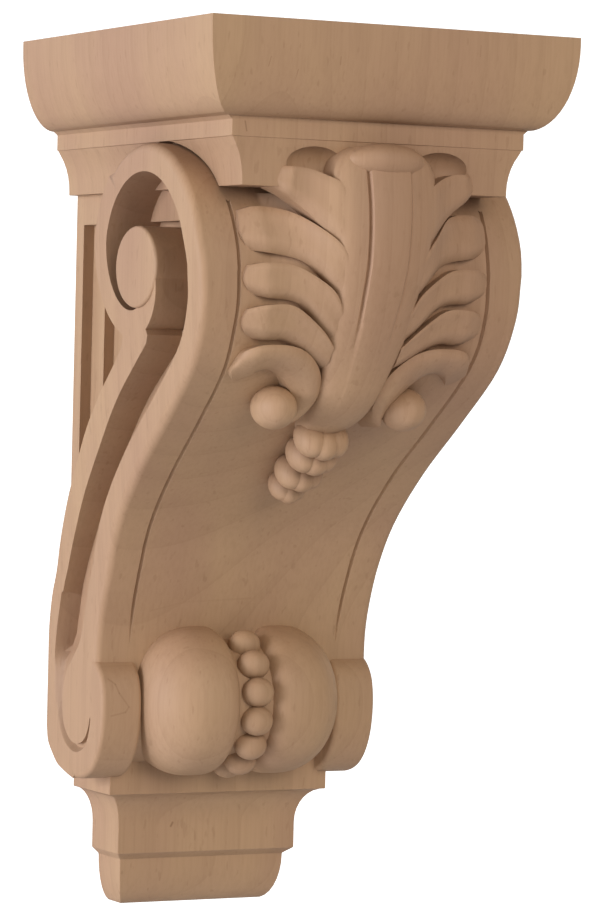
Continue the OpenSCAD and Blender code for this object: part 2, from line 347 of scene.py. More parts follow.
def moulded(name, levels, easing=0.35):
    """A moulding that returns along the front and both sides, drawn up from a plane through its
    levels of (height, half width, depth)"""
    deselect()
    bpy.ops.mesh.primitive_plane_add(size=1)
    piece = added(name)
    height, half, depth = levels[0]
    for v in piece.data.vertices:
        v.co = spot(half if v.co.x > 0 else -half, depth if v.co.y < 0 else 0, height)
    bpy.ops.object.mode_set(mode="EDIT")
    bpy.ops.mesh.select_all(action="SELECT")
    for up, w, d in levels[1:]:
        bpy.ops.mesh.extrude_region_move(TRANSFORM_OT_translate={"value": (0, 0, (up - height) * MM)})
        bpy.ops.transform.resize(value=(w / half, d / depth, 1), center_override=(0, WALL, LOW.z + up * MM))
        height, half, depth = up, w, d
    bpy.ops.object.mode_set(mode="OBJECT")
    close_up(piece)
    return eased(piece, easing)


def eased(piece, width, segments=2, sharp=40):
    """Ease the edges that turn by more than sharp degrees with a bevel"""
    pick(piece)
    m = piece.modifiers.new("easing", "BEVEL")
    m.width = width * MM
    m.segments = segments
    m.limit_method = "ANGLE"
    m.angle_limit = radians(sharp)
    bpy.ops.object.modifier_apply(modifier=m.name)
    return piece


def rim(x, radius, easing, steps=5):
    """Quarter-round rim of a turned piece, from its end face at x to its side. A negative easing
    rounds the end that faces the other way."""
    turns = [pi / 2 * (1 - i / steps) for i in range(steps + 1)]
    return [(x + easing * (1 - sin(a)), radius - abs(easing) * (1 - cos(a))) for a in turns]


def spun(name, centre, profile, stretch=1.0, sides=96):
    """A solid turned about an axis across the bracket, from a profile of (place across, radius)
    that starts and ends on the axis. Its height is its depth times stretch."""
    deselect()
    bpy.ops.mesh.primitive_uv_sphere_add(segments=sides, ring_count=len(profile) - 1, radius=1)
    piece = added(name)
    for v in piece.data.vertices:
        x, r = profile[round(acos(min(max(v.co.z, -1), 1)) / pi * (len(profile) - 1))]
        turn = atan2(v.co.y, v.co.x)
        v.co = spot(x, centre[0] + r * cos(turn), centre[1] + stretch * r * sin(turn))
    return close_up(piece)


def round_end(name, centre, radius, x0, x1, first, last, stretch=1.0):
    """A disc across the bracket from x0 to x1, with its two rims eased by first and last"""
    profile = [(x0, 0)] + rim(x0, radius, first) + rim(x1, radius, -last)[::-1] + [(x1, 0)]
    return spun(name, centre, profile, stretch)


def pebble(name, centre, radii, turn=None, rings=24):
    """An ellipsoid at a place"""
    deselect()
    bpy.ops.mesh.primitive_uv_sphere_add(segments=2 * rings, ring_count=rings, radius=MM)
    piece = added(name)
    shape = Matrix.Diagonal(Vector(radii)).to_4x4()
    if turn is not None:
        shape = Matrix.Rotation(turn, 4, "X") @ shape
    piece.data.transform(Matrix.Translation(spot(*centre)) @ shape)
    return piece


def both_sides(piece):
    """Add the mirror image on the other side"""
    pick(piece)
    m = piece.modifiers.new("other side", "MIRROR")
    m.use_mirror_merge = False
    bpy.ops.object.modifier_apply(modifier=m.name)
    return close_up(piece)


def combine(piece, other, operation="UNION"):
    """Join another solid to the piece or cut it away, and remove that solid"""
    pick(piece)
    m = piece.modifiers.new("combine", "BOOLEAN")
    m.operation = operation
    m.solver = "MANIFOLD"
    m.object = other
    before = (len(piece.data.vertices), len(piece.data.polygons))
    bpy.ops.object.modifier_apply(modifier=m.name)
    if (len(piece.data.vertices), len(piece.data.polygons)) == before or not piece.data.polygons:
        raise RuntimeError(f"{other.name} changed nothing on {piece.name}")
    bpy.data.objects.remove(other)
    return piece


def joined(name, pieces):
    """Join the pieces into the first, under a new name"""
    first = pieces[0]
    for other in pieces[1:]:
        combine(first, other)
    first.name = name
    return first


# ---------------------------------------------------------------- cap


def cap_levels(s):
    """Levels of the cap from the neck up: hollow, fillet, small ledge, rounded moulding and top edge"""
    half = HIGH.x / MM
    depth = (WALL - LOW.y) / MM
    ledge_height = 1
    fillet_top = TALL - s["edge"] - s["ovolo"] - ledge_height
    fillet_low = fillet_top - s["fillet"]
    fillet_half = half - s["overhang"] - s["ledge"]
    fillet_depth = depth - s["overhang"]
    side = fillet_half - s["neck_width"] / 2
    front = fillet_depth - s["neck_depth"]
    curved = 0.92 * s["hollow"]  # the hollow's lowest stretch is straight
    turn = radians(55)
    last = radians(35)
    levels = [(fillet_low - s["hollow"], fillet_half - side, fillet_depth - front)]
    for i in range(7):
        a = pi / 2 - turn * i / 6
        reach = (sin(a) - sin(last)) / (1 - sin(last))
        drop = 1 - cos(a) / cos(last)
        levels.append((fillet_low - curved * drop, fillet_half - side * reach, fillet_depth - front * reach))
    side_step = 0.35
    front_step = 0.3
    levels[-1] = (fillet_low, fillet_half - side_step, fillet_depth - front_step)
    levels += [(fillet_low + 0.01, fillet_half, fillet_depth), (fillet_top, fillet_half, fillet_depth)]
    for i in range(15):
        a = pi / 2 * (1 - i / 14)
        out = s["overhang"] * (1 - cos(a))
        levels.append((TALL - s["edge"] - s["ovolo"] * sin(a), half - out, depth - out))
    return levels + [(TALL, half, depth)]


def scroll_gap(s):
    """Cutter for the thin gap between the cap and the top of each upper scroll"""
    half = HIGH.x / MM
    widest = 0.7
    reach = 12
    first, last = 20, 130
    turns = range(first, last + 1, 5)
    near = [coil(s, a, -widest * sin(radians((a - first) / (last - first) * 180))) for a in turns]
    gap = bar("gap", near, [coil(s, a, reach) for a in turns], lambda height: half)
    into_neck = 0.5
    kept = s["neck_width"] / 2 - into_neck  # nothing is cut within this half width
    core = plate("gap_core", [(0, 180), (0, 254), (120, 254), (120, 180)], -kept, kept)
    return combine(gap, core, "DIFFERENCE")


class CORBEL_OT_cap(bpy.types.Operator):
    """Model the cap, the fillet, the hollow and the neck"""

    bl_idname = "corbel.cap"
    bl_label = "Cap"

    def execute(self, context):
        s = sizes()
        cap = moulded("cap", cap_levels(s))
        combine(cap, scroll_gap(s), "DIFFERENCE")
        # The neck is scooped out a little beside the leaf's top.
        scoop = pebble("recess", (-19.5, 116.6, 216), (9, 4.6, 4.8))
        combine(cap, both_sides(scoop), "DIFFERENCE")
        return {"FINISHED"}


# ---------------------------------------------------------------- scrolls


def sunk_body(s):
    """The core between the scrolls, with two sunk steps in each side"""
    core_half = s["core_width"] / 2
    under = 3  # how far the core's front lies behind the front bands
    turn = [tuple(coil(s, a, under)) for a in range(90, 0, -6)]
    fall = [tuple(p) for p in beside(front_curve(s), -under, -under)]
    body = plate("body", [(0, 50), (0, 212)] + turn + fall + [(28, 50)], -core_half, core_half)

    back = smooth([(60, 171), (50.5, 159.6), (30.6, 141.8), (14.6, 120.1), (4.3, 97.8), (0.2, 83.6), (0, 70)])
    far = 94
    lap = 1.5  # how far each step reaches under the back band
    for near, floor, top in ((5.2, 35.1, 200.8), (14.0, 31.9, 192)):
        low = [tuple(p) for p in back if p.x > near][::-1]
        outline = [(near, top), (near, low[0][1] - 4)] + [(d + lap, z - lap) for d, z in low]
        outline += [(far, 171), (far, top)]
        combine(body, both_sides(plate("panel", outline, -core_half - 5, -floor)), "DIFFERENCE")
    return body


def front_band(s):
    """The band round the upper scroll's coil and down the front, with softened outer edges"""
    front = front_curve(s)
    turns = [345 - 5 * i for i in range(69)]
    outer = [coil(s, a) for a in turns] + front
    inner = [coil(s, a, s["band"]) for a in turns] + beside(front, -s["band"], -s["band_foot"])
    soft = [coil(s, a) for a in turns if a < 125] + front
    return bar("front_band", outer, inner, half_width(s), s["rounding"], soft)


def back_band(s):
    """The band from the end of the coil down the wall side"""
    inner = smooth([
        (71, 173), (74.4, 167.6), (66.9, 161.5), (51.9, 150), (38, 135.4), (25.4, 120.5), (14.1, 102.4),
        (8.8, 90.4), (5.3, 75.4), (4.6, 62),
    ])
    outer = smooth([
        (60, 172), (56.5, 165.0), (50.5, 159.6), (40.3, 151.3), (30.6, 141.8), (22.1, 130.8), (14.6, 120.1),
        (8.2, 108), (4.3, 97.8), (1.8, 91.4), (0.3, 83.6), (0, 76), (0, 62),
    ])
    outer = [Vector((max(p.x, 0), p.y)) for p in outer]
    return bar("back_band", even(outer, 50), even(inner, 50), half_width(s))


def upper_eye(s):
    """The upper scrolls' eyes, as one bar across the bracket"""
    centre = (s["volute_depth"], s["volute_height"])
    reach = half_width(s)(190)
    easing = 0.9
    return round_end("eye", centre, s["eye"], -reach, reach, easing, easing, s["eye_height"] / s["eye"])


def drums(s):
    """The lower scrolls' round ends"""
    half = s["foot_width"] / 2
    edge = smooth([
        (20, 75.4), (24.5, 76), (29.3, 75.6), (34, 73.6), (37.4, 69.8), (38.9, 64.6), (39, 58.4), (37.8, 52),
        (35, 46.2), (30.6, 41.9), (25, 39.7), (19.6, 39.2),
    ])
    drum = plate("drum", [(10, 45), (10, 70)] + edge, -half, s["drum_width"] - half)
    return both_sides(eased(drum, 1.5, 4, 60))


def heel(s):
    """The lower scrolls' back part, between the round ends and the wall"""
    half = s["foot_width"] / 2
    low = smooth([(19.6, 39.2), (16.1, 40), (11.6, 41.2), (7.8, 42.6), (3.9, 45.6), (1.1, 48.6), (0, 53)], 4)
    high = [(0, 78), (0.8, 86), (2, 92), (24, 92), (30, 76), (30, 50)]
    return plate("heel", high + [(max(p.x, 0), p.y) for p in low], -half, half)


def foot_channel(s):
    """Cutter for the channel between the bands, which runs out round the lower scroll's eye"""
    half = s["foot_width"] / 2
    outer = even(smooth([
        (8.8, 93), (7.9, 90), (5.3, 79.5), (4.4, 69.5), (5.4, 61), (8.7, 53.8), (13.6, 48.6), (20.9, 46.6),
        (27.4, 48.8), (30.3, 53.4), (31.2, 57.4),
    ]), 40)
    inner = even(smooth([
        (27.4, 93), (26, 90), (22.8, 80), (18.2, 74.7), (13.3, 69.6), (10.9, 63.6), (11.7, 55.8),
        (15.5, 51.1), (20.7, 49.4), (26.4, 50.8), (29.4, 54.2), (30.8, 58),
    ]), 40)
    proud = 0.1  # the cutter starts this far outside the side face
    floor = half - s["core_width"] / 2 + 0.02
    # At each of the 40 places along the channel: its depth, and the share of its width that its
    # outer wall takes
    deep = table([
        (0, floor), (7, floor), (9, 5.2), (11, 3.4), (13, 2.4), (16, 2), (20, 1.9), (30, 1.7), (39, 0.8),
    ])
    slope = table([(0, 0.04), (9, 0.06), (14, 0.3), (20, 0.55), (39, 0.6)])

    def channel_point(i, j):
        v = (j / 8) ** 2
        sunk = (deep(i) + proud) * ease(v / slope(i))
        return spot(-half - proud + sunk, *outer[i].lerp(inner[i], v))

    channel = draw_out(sheet("channel", 39, 8, channel_point), (-9 * MM, 0, 0))
    return both_sides(close_up(channel))


class CORBEL_OT_scrolls(bpy.types.Operator):
    """Model the body, its sunk side panels and the raised bands of the scrolls"""

    bl_idname = "corbel.scrolls"
    bl_label = "Scrolls"

    def execute(self, context):
        s = sizes()
        body = sunk_body(s)
        for part in (front_band, back_band, upper_eye, drums, heel):
            combine(body, part(s))
        combine(body, foot_channel(s), "DIFFERENCE")
        return {"FINISHED"}


# ---------------------------------------------------------------- roll and block


def bulbs(s, centre):
    """A bulb on each side of the beads, blunt towards them and rounder towards the drums"""
    peak = 14.0
    inner_end = 4.0
    outer_end = 31.8
    turns = [pi / 2 * i / 20 for i in range(21)]
    inner = [(peak - (peak - inner_end) * cos(a) ** 0.5, s["bulb"] * sin(a) ** 0.5) for a in turns]
    outer = [(peak + (outer_end - peak) * sin(a) ** 0.9, s["bulb"] * abs(cos(a)) ** 0.9) for a in turns[1:]]
    return both_sides(spun("bulb", centre, [(-x, r) for x, r in inner + outer]))


class CORBEL_OT_roll(bpy.types.Operator):
    """Model the roll across the foot: bulbs, beads and what carries them"""

    bl_idname = "corbel.roll"
    bl_label = "Roll"

    def execute(self, context):
        s = sizes()
        centre = (31.5, 62.5)
        into_drum = 3
        ends = s["foot_width"] / 2 - s["drum_width"] + into_drum
        roll = round_end("roll", (20, 60), s["roll"], -ends, ends, 0.5, 0.5)
        combine(roll, round_end("hub", centre, s["bulb"] * 0.82, -8, 8, 0.5, 0.5))
        combine(roll, bulbs(s, centre))
        first = 62
        pitch = 25.5
        reach = s["bulb"] - 3.1
        radii = (s["bead"] * 0.61, s["bead"] / 2, s["bead"] * 0.54)
        for i in range(7):
            a = radians(first - pitch * i)
            place = (0, centre[0] + reach * cos(a), centre[1] + reach * sin(a))
            combine(roll, pebble("bead", place, radii, rings=18))
        return {"FINISHED"}


def block_levels():
    """Levels of the stepped block, from the bottom up: rounded foot, step, hollow and top"""
    foot_high, foot_half, foot_depth = 14.3, 26.85, 15.6
    drawn_in, drawn_back = 4.5, 8.5
    step_low, step_high, step_half, step_depth = 16.3, 24.0, 29.05, 18.7
    hollow, top_half, top_depth = 10.6, 35.5, 26.1
    quarter = [pi / 2 * i / 8 for i in range(9)]
    levels = []
    for a in quarter:
        less = 1 - sin(a)
        levels.append((foot_high * (1 - cos(a)), foot_half - drawn_in * less, foot_depth - drawn_back * less))
    levels += [(step_low, step_half, step_depth), (step_high, step_half, step_depth)]
    for a in quarter[1:]:
        share = 1 - cos(a)
        half = step_half + (top_half - step_half) * share
        depth = step_depth + (top_depth - step_depth) * share
        levels.append((step_high + hollow * sin(a), half, depth))
    return levels + [(41.0, top_half, top_depth), (58.0, top_half, top_depth)]


class CORBEL_OT_block(bpy.types.Operator):
    """Model the stepped block under the scroll"""

    bl_idname = "corbel.block"
    bl_label = "Foot block"

    def execute(self, context):
        moulded("block", block_levels(), 0.3)
        return {"FINISHED"}


# ---------------------------------------------------------------- leaf

# Upper and lower edges of the leaf's lobes from the stem to the tip, as (distance from the
# middle, height above the bottom), and how far each tip bulges out between them. The first is
# the crown, which stands clear of the body.
LOBES = (
    (
        ((13, 210.5), (17.6, 212.9), (22.5, 214.6), (29.4, 215.2)),
        ((12.5, 190.6), (15.2, 194.4), (22.6, 201.6), (31.4, 208.2)),
        0.8,
    ),
    (
        ((11.5, 191.5), (16, 196.4), (24.3, 202.7), (33, 204.2), (38, 203)),
        ((10.5, 177.5), (13.7, 181.2), (20.9, 187.3), (30.2, 189.3), (35.6, 190.2)),
        1.5,
    ),
    (
        ((10.5, 176.5), (14.4, 182.1), (23.7, 187.9), (32, 188.8), (36.9, 188)),
        ((10.5, 167.3), (15.4, 170.8), (22, 176.5), (30.6, 177.6), (35.2, 179)),
        1.6,
    ),
    (
        ((10.5, 166.5), (15.8, 171.7), (23.7, 177.1), (31.5, 177.3), (36.4, 176.1)),
        ((10.5, 160.5), (15.3, 162.7), (23.5, 166), (30, 166.1), (34, 167.2)),
        1.8,
    ),
)
# The stem's middle from its top down, as (depth from the wall, height above the bottom)
STEM = (
    (122, 221), (124, 214), (125.6, 203), (124.8, 190.4), (121.4, 179.6), (116.2, 168.6), (109.8, 158.5),
    (105.6, 152.5), (99, 146.5), (90, 142),
)


def settle(piece, behind):
    """Draw a carved sheet back, as deep as behind(height, depth) says"""
    drawn = 5
    draw_out(piece, (0, drawn * MM, 0))
    for v in piece.data.vertices:
        if v.select:
            height = (v.co.z - LOW.z) / MM
            v.co.y = WALL - behind(height, (WALL - v.co.y) / MM + drawn) * MM
    return close_up(piece)


def inside(face):
    """Function that puts the back of a leaf part inside the body"""

    def behind(height, depth):
        return min(depth - 3, face(height) - 4)

    return behind


def clear(height, depth):
    """Back of a leaf part that stands clear of the body"""
    return depth - 6


def stem(s, face, stem_at):
    """The stem: its raised middle, with a cut line each side, falls away to its edges"""
    low, high = 142, 221
    wide = table([
        (142, 4.5), (144, 6.6), (147, 8), (151, 9), (160, 10.5), (168.6, 11.8), (178, 12.2), (193.5, 14.2),
        (208, 15.6), (214, 15.6), (217.5, 14.4), (219.5, 12.5), (221, 9.5),
    ])
    rib = table([(142, 2), (146, 4.2), (180, 5.9), (212, 6.7)])
    rise = s["stem_rise"] / 4.6  # the falls below are for a stem that rises 4.6 mm

    def stem_point(i, j):
        z = low + (high - low) * j / 60
        w = wide(z)
        r = rib(z)
        cut = ease((z - 160) / 22)  # the cut lines run out towards the stem's foot
        places = [0, 0.4 * r, 0.75 * r, r - 0.7, r, r + 0.7]
        places += [r + k * (w - r) for k in (0.3, 0.5, 0.68, 0.85, 1)]
        falls = [0, 0.1, 0.35, 0.6, 0.9 + 1.1 * cut, 1.0 + 0.2 * cut, 1.4, 1.8, 2.3, 3.1, 4.6]
        k = abs(i - 10)
        right = i > 10
        if right and k == 4:
            falls[k] -= 0.495 * cut  # the right line is the shallower one
        return spot(places[k] if right else -places[k], stem_at(z) - falls[k] * rise, z)

    return settle(sheet("stem", 20, 60, stem_point), inside(face))


def bed(face, stem_at):
    """The raised ground that the lobes grow from, on each side of the stem"""

    def bed_point(i, j):
        x = 6 + 28 * i / 12
        z = 160 + 48 * j / 24
        proud = max(stem_at(z) - 6.5 - face(z), 0) * (1 - ease((x - 8) / 25))
        return spot(-x, face(z) - 0.5 + proud, z)

    return both_sides(settle(sheet("bed", 12, 24, bed_point), inside(face)))


def lobe(s, face, stem_at, top, low, bulge, crown):
    """One lobe on each side: it leaves the stem low, rises to a ridge and drops at its tip"""
    upper = even(smooth(top, 8), 29)
    lower = even(smooth(low, 8), 29)
    tip = 0.82  # share of the length where the tip starts to drop

    def lobe_point(i, j):
        u = i / 28
        v = j / 14
        p = upper[i].lerp(lower[i], v * (1 - 0.15 * sin(pi * min(u, 0.75) / 1.5)))
        p.x += bulge * u**5 * sin(pi * v)
        root = stem_at(p.y) - s["stem_rise"] / 2
        ridge = 118 if crown else face(p.y) + 5
        if u < tip:
            d = root + (ridge - root) * ease(u / tip) - 0.6 * sin(pi * u / tip) ** 2
        else:
            d = ridge - 3.2 * ((u - tip) / (1 - tip)) ** 1.4
        d -= 0.7 * sin(pi * v) + 2.8 * max(v - 0.6, 0) ** 2 / 0.4**2 + 0.6 * max(0.1 - v, 0) / 0.1
        return spot(-p.x, d, p.y)

    return both_sides(settle(sheet("lobe", 28, 14, lobe_point), clear if crown else inside(face)))


def curl(face, stem_at):
    """The lowest lobe on each side, curled over its ball"""
    outer = even(smooth([
        (14.6, 144.2), (11.2, 146.4), (9.6, 150), (9.4, 154), (10.4, 158), (13, 161.6), (17, 164.7),
        (21.6, 166.3), (26.8, 166.6), (31.4, 166.2), (35.2, 164.5), (36.4, 161.3),
    ]), 41)
    inner = even(smooth([
        (15.2, 144.8), (15, 147.2), (15.6, 150.4), (17.2, 153.4), (19.2, 156), (21.6, 158.2), (24.2, 159.5),
        (26.8, 159.8), (29.4, 159), (31.6, 157.4), (33.4, 156.2),
    ]), 41)
    tip = 0.86

    def curl_point(i, j):
        t = i / 40
        v = j / 10
        p = outer[i].lerp(inner[i], v)
        p.x += 1.6 * t**6 * sin(pi * v)
        base = face(p.y)
        root = min(stem_at(p.y) - 2.2, base + 11)
        d = root + (base + 5.6 - root) * ease(t / tip)
        if t > tip:
            d -= 3.6 * ((t - tip) / (1 - tip)) ** 1.3
        d -= 2.6 * max(v - 0.4, 0) ** 2 / 0.36 + 1.6 * max(0.35 - v, 0) ** 2 / 0.1225
        return spot(-p.x, d, p.y)

    return both_sides(settle(sheet("curl", 40, 10, curl_point), inside(face)))


def add_pendant(s, face, leaf):
    """Rows of three berries under the stem, which get smaller on the way down"""
    slope = radians(38)
    rows = ((144.6, 5.4, 8.0, 1.0), (140.2, 5.6, 7.5, 0.98), (134.6, 5.2, 7.0, 0.92), (129.4, 3.9, 5.4, 0.8))
    for height, proud, half, share in rows:
        r = s["berry"] * share
        for side in (-1, 0, 1):
            out = proud + (0.6 if side == 0 else -0.4)
            place = (side * (half - r), face(height) + out * sin(slope), height - out * cos(slope))
            combine(leaf, pebble("berry", place, (r, r * 1.35, r * 1.02), slope, 16))


class CORBEL_OT_leaf(bpy.types.Operator):
    """Model the leaf: stem, lobes, curls with their balls, and the berry pendant"""

    bl_idname = "corbel.leaf"
    bl_label = "Leaf"

    def execute(self, context):
        s = sizes()
        face = face_at(s)
        stem_at = table([(p.y, p.x) for p in smooth(STEM)])
        leaf = stem(s, face, stem_at)
        combine(leaf, pebble("lip", (0, 119.2, 217.2), (12, 6.3, 5), radians(-14), 32))
        combine(leaf, bed(face, stem_at))
        for i, (top, low, bulge) in enumerate(LOBES):
            combine(leaf, lobe(s, face, stem_at, top, low, bulge, i == 0))
        combine(leaf, curl(face, stem_at))
        ball_height = 149.3
        ball = (s["ball"], s["ball"] * 1.3, s["ball"])
        place = (-20.4, face(ball_height) + 7.4, ball_height)
        combine(leaf, both_sides(pebble("ball", place, ball, rings=28)))
        add_pendant(s, face, leaf)
        return {"FINISHED"}


# ---------------------------------------------------------------- finish


def front_lines(s):
    """Cutter for the line cut down the front beside each band"""
    across = table([(78, 33.6), (82, 33.7), (104, 34.2), (131, 35.6), (168, 38.7), (193, 39.0), (206, 39.6)])
    line = [coil(s, a) for a in range(28, 0, -4)] + [p for p in even(front_curve(s), 70) if p.y > 77]
    last = len(line) - 1
    half = s["groove"] / 2
    section = ((-half, 0.5), (0, -1.1), (half, 0.5))

    def line_point(i, j):
        aside, out = section[min(j, 2)]
        if out < 0:
            out *= min(1.0, (last - i) / 6)  # the line runs out at its foot
        along = (line[min(i + 1, last)] - line[max(i - 1, 0)]).normalized()
        p = line[i] + Vector((-along.y, along.x)) * out
        return spot(-across(line[i].y) + aside, *p)

    cutter = sheet("line", last, 2, line_point)
    draw_out(cutter, (0, -3 * MM, 0))
    return both_sides(close_up(cutter))


class CORBEL_OT_finish(bpy.types.Operator):
    """Join the parts into one carved block, cut the fine lines and give it its wood"""

    bl_idname = "corbel.finish"
    bl_label = "Join and finish"

    def execute(self, context):
        parts = bpy.data.objects
        block = joined("corbel_block", [parts[n] for n in ("body", "cap", "block", "roll", "stem")])
        combine(block, front_lines(sizes()), "DIFFERENCE")
        close_up(block)
        bpy.ops.object.shade_smooth_by_angle(angle=radians(32))
        m = block.modifiers.new("normals", "WEIGHTED_NORMAL")
        m.keep_sharp = True
        m.weight = 80
        bpy.ops.object.modifier_apply(modifier=m.name)
        block.data.materials.clear()
        block.data.materials.append(maple())
        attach(block, "root")
        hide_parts("corbel")
        return {"FINISHED"}


# ---------------------------------------------------------------- wood

# How much each direction (across, depth, height) counts for a mark on the front or on a side
FRONT = (1, 0.12, 1)
SIDE = (0.12, 1, 1)
# Fine marks in the wood: places along each as (across, depth, height), then its width, strength
# and face
MARKS = (
    (((-30.5, 125.5, 240.5), (-31.5, 121, 234.5), (-34.5, 118, 231), (-37, 117, 228.5)), 0.5, 0.6, FRONT),
    (((-41.5, 117, 226.5), (-41, 117, 224)), 0.7, 0.8, FRONT),
    (((-18, 126, 244.5), (-18, 126, 242.5)), 0.5, 0.5, FRONT),
    (((-1.5, 126, 249.5), (-1.5, 126, 247)), 0.5, 0.5, FRONT),
    (((11.5, 123, 241), (11.5, 123, 238.5)), 0.6, 0.55, FRONT),
    (((-39, 126, 243.5), (-39.5, 126, 241)), 0.5, 0.45, FRONT),
    (((-8, 122, 237.5), (-8, 121, 235)), 0.5, 0.5, FRONT),
    (((25, 126, 250), (25, 126, 247)), 0.5, 0.5, FRONT),
    (((40.5, 122, 238.5), (40.5, 121, 236.5)), 0.6, 0.5, FRONT),
    (((-45, 45, 220.5), (-45, 47, 218)), 0.7, 0.8, SIDE),
    (((-11.5, 19, 25), (-12, 19, 24)), 1.0, 0.9, FRONT),
    (((-16.5, 15, 5), (-16.5, 15, 4.5)), 0.8, 0.6, FRONT),
    (((-28, 35, 89), (-18, 34, 91.5), (3.5, 36, 92.5)), 0.9, 0.2, FRONT),
    (((-6.5, 33, 80), (11.5, 43, 100.5)), 1.0, 0.2, FRONT),
    (
        ((-42, 38, 69.5), (-40, 38, 68), (-39, 38, 65.5), (-36, 38, 61.5), (-37, 38, 60), (-41.5, 38, 59)),
        0.8, 0.45, FRONT,
    ),
)


def node(tree, kind, at, values=None, **settings):
    """A shader node at a place in the node editor, with its input values and settings"""
    made = tree.nodes.new(kind)
    made.location = at
    for name, value in settings.items():
        setattr(made, name, value)
    for name, value in (values or {}).items():
        made.inputs[name].default_value = value
    return made


def mapped(tree, coords, at, scale, location=(0, 0, 0), rotation=(0, 0, 0)):
    """The coordinates, scaled, moved and turned"""
    made = node(tree, "ShaderNodeMapping", at, {"Location": location, "Rotation": rotation, "Scale": scale})
    tree.links.new(coords, made.inputs["Vector"])
    return made.outputs["Vector"]


def ramp(tree, value, at, stops):
    """Grey that follows the value through stops of (place, grey)"""
    made = node(tree, "ShaderNodeValToRGB", at)
    bits = made.color_ramp.elements
    while len(bits) < len(stops):
        bits.new(0.5)
    for bit, (place, grey) in zip(bits, stops):
        bit.position = place
        bit.color = (grey, grey, grey, 1)
    tree.links.new(value, made.inputs["Fac"])
    return made.outputs["Color"]


def tinted(tree, base, factor, colour, at, strength=1.0, blend="MIX"):
    """Mix a colour over the base where factor says so"""
    mix = node(tree, "ShaderNodeMix", at, data_type="RGBA", blend_type=blend)
    scaled = node(tree, "ShaderNodeMath", (at[0] - 160, at[1] + 120), operation="MULTIPLY")
    scaled.inputs[1].default_value = strength
    tree.links.new(factor, scaled.inputs[0])
    tree.links.new(scaled.outputs[0], mix.inputs[0])
    tree.links.new(base, mix.inputs[6])
    mix.inputs[7].default_value = (*colour, 1)
    return mix.outputs[2]


def mark(tree, coords, start, end, width, squash, at):
    """Mask of a fine mark between two places. Squash is how much each direction counts."""
    start = spot(*start) * Vector(squash)
    end = spot(*end) * Vector(squash)
    flat = node(tree, "ShaderNodeVectorMath", at, {1: squash}, operation="MULTIPLY")
    rest = node(tree, "ShaderNodeVectorMath", (at[0] + 150, at[1]), {1: start}, operation="SUBTRACT")
    along = end - start
    per_length = along / along.length_squared
    share = node(tree, "ShaderNodeVectorMath", (at[0] + 300, at[1]), {1: per_length}, operation="DOT_PRODUCT")
    kept = node(tree, "ShaderNodeMath", (at[0] + 450, at[1]), {1: 1.0}, operation="MULTIPLY", use_clamp=True)
    back = node(tree, "ShaderNodeVectorMath", (at[0] + 600, at[1]), {0: along}, operation="SCALE")
    gap = node(tree, "ShaderNodeVectorMath", (at[0] + 750, at[1]), operation="DISTANCE")
    reach = {"From Min": width * MM / 2, "From Max": 0.0}
    mask = node(tree, "ShaderNodeMapRange", (at[0] + 900, at[1]), reach)
    tree.links.new(coords, flat.inputs[0])
    tree.links.new(flat.outputs[0], rest.inputs[0])
    tree.links.new(rest.outputs[0], share.inputs[0])
    tree.links.new(share.outputs["Value"], kept.inputs[0])
    tree.links.new(kept.outputs[0], back.inputs["Scale"])
    tree.links.new(rest.outputs[0], gap.inputs[0])
    tree.links.new(back.outputs[0], gap.inputs[1])
    tree.links.new(gap.outputs["Value"], mask.inputs["Value"])
    return mask.outputs["Result"]


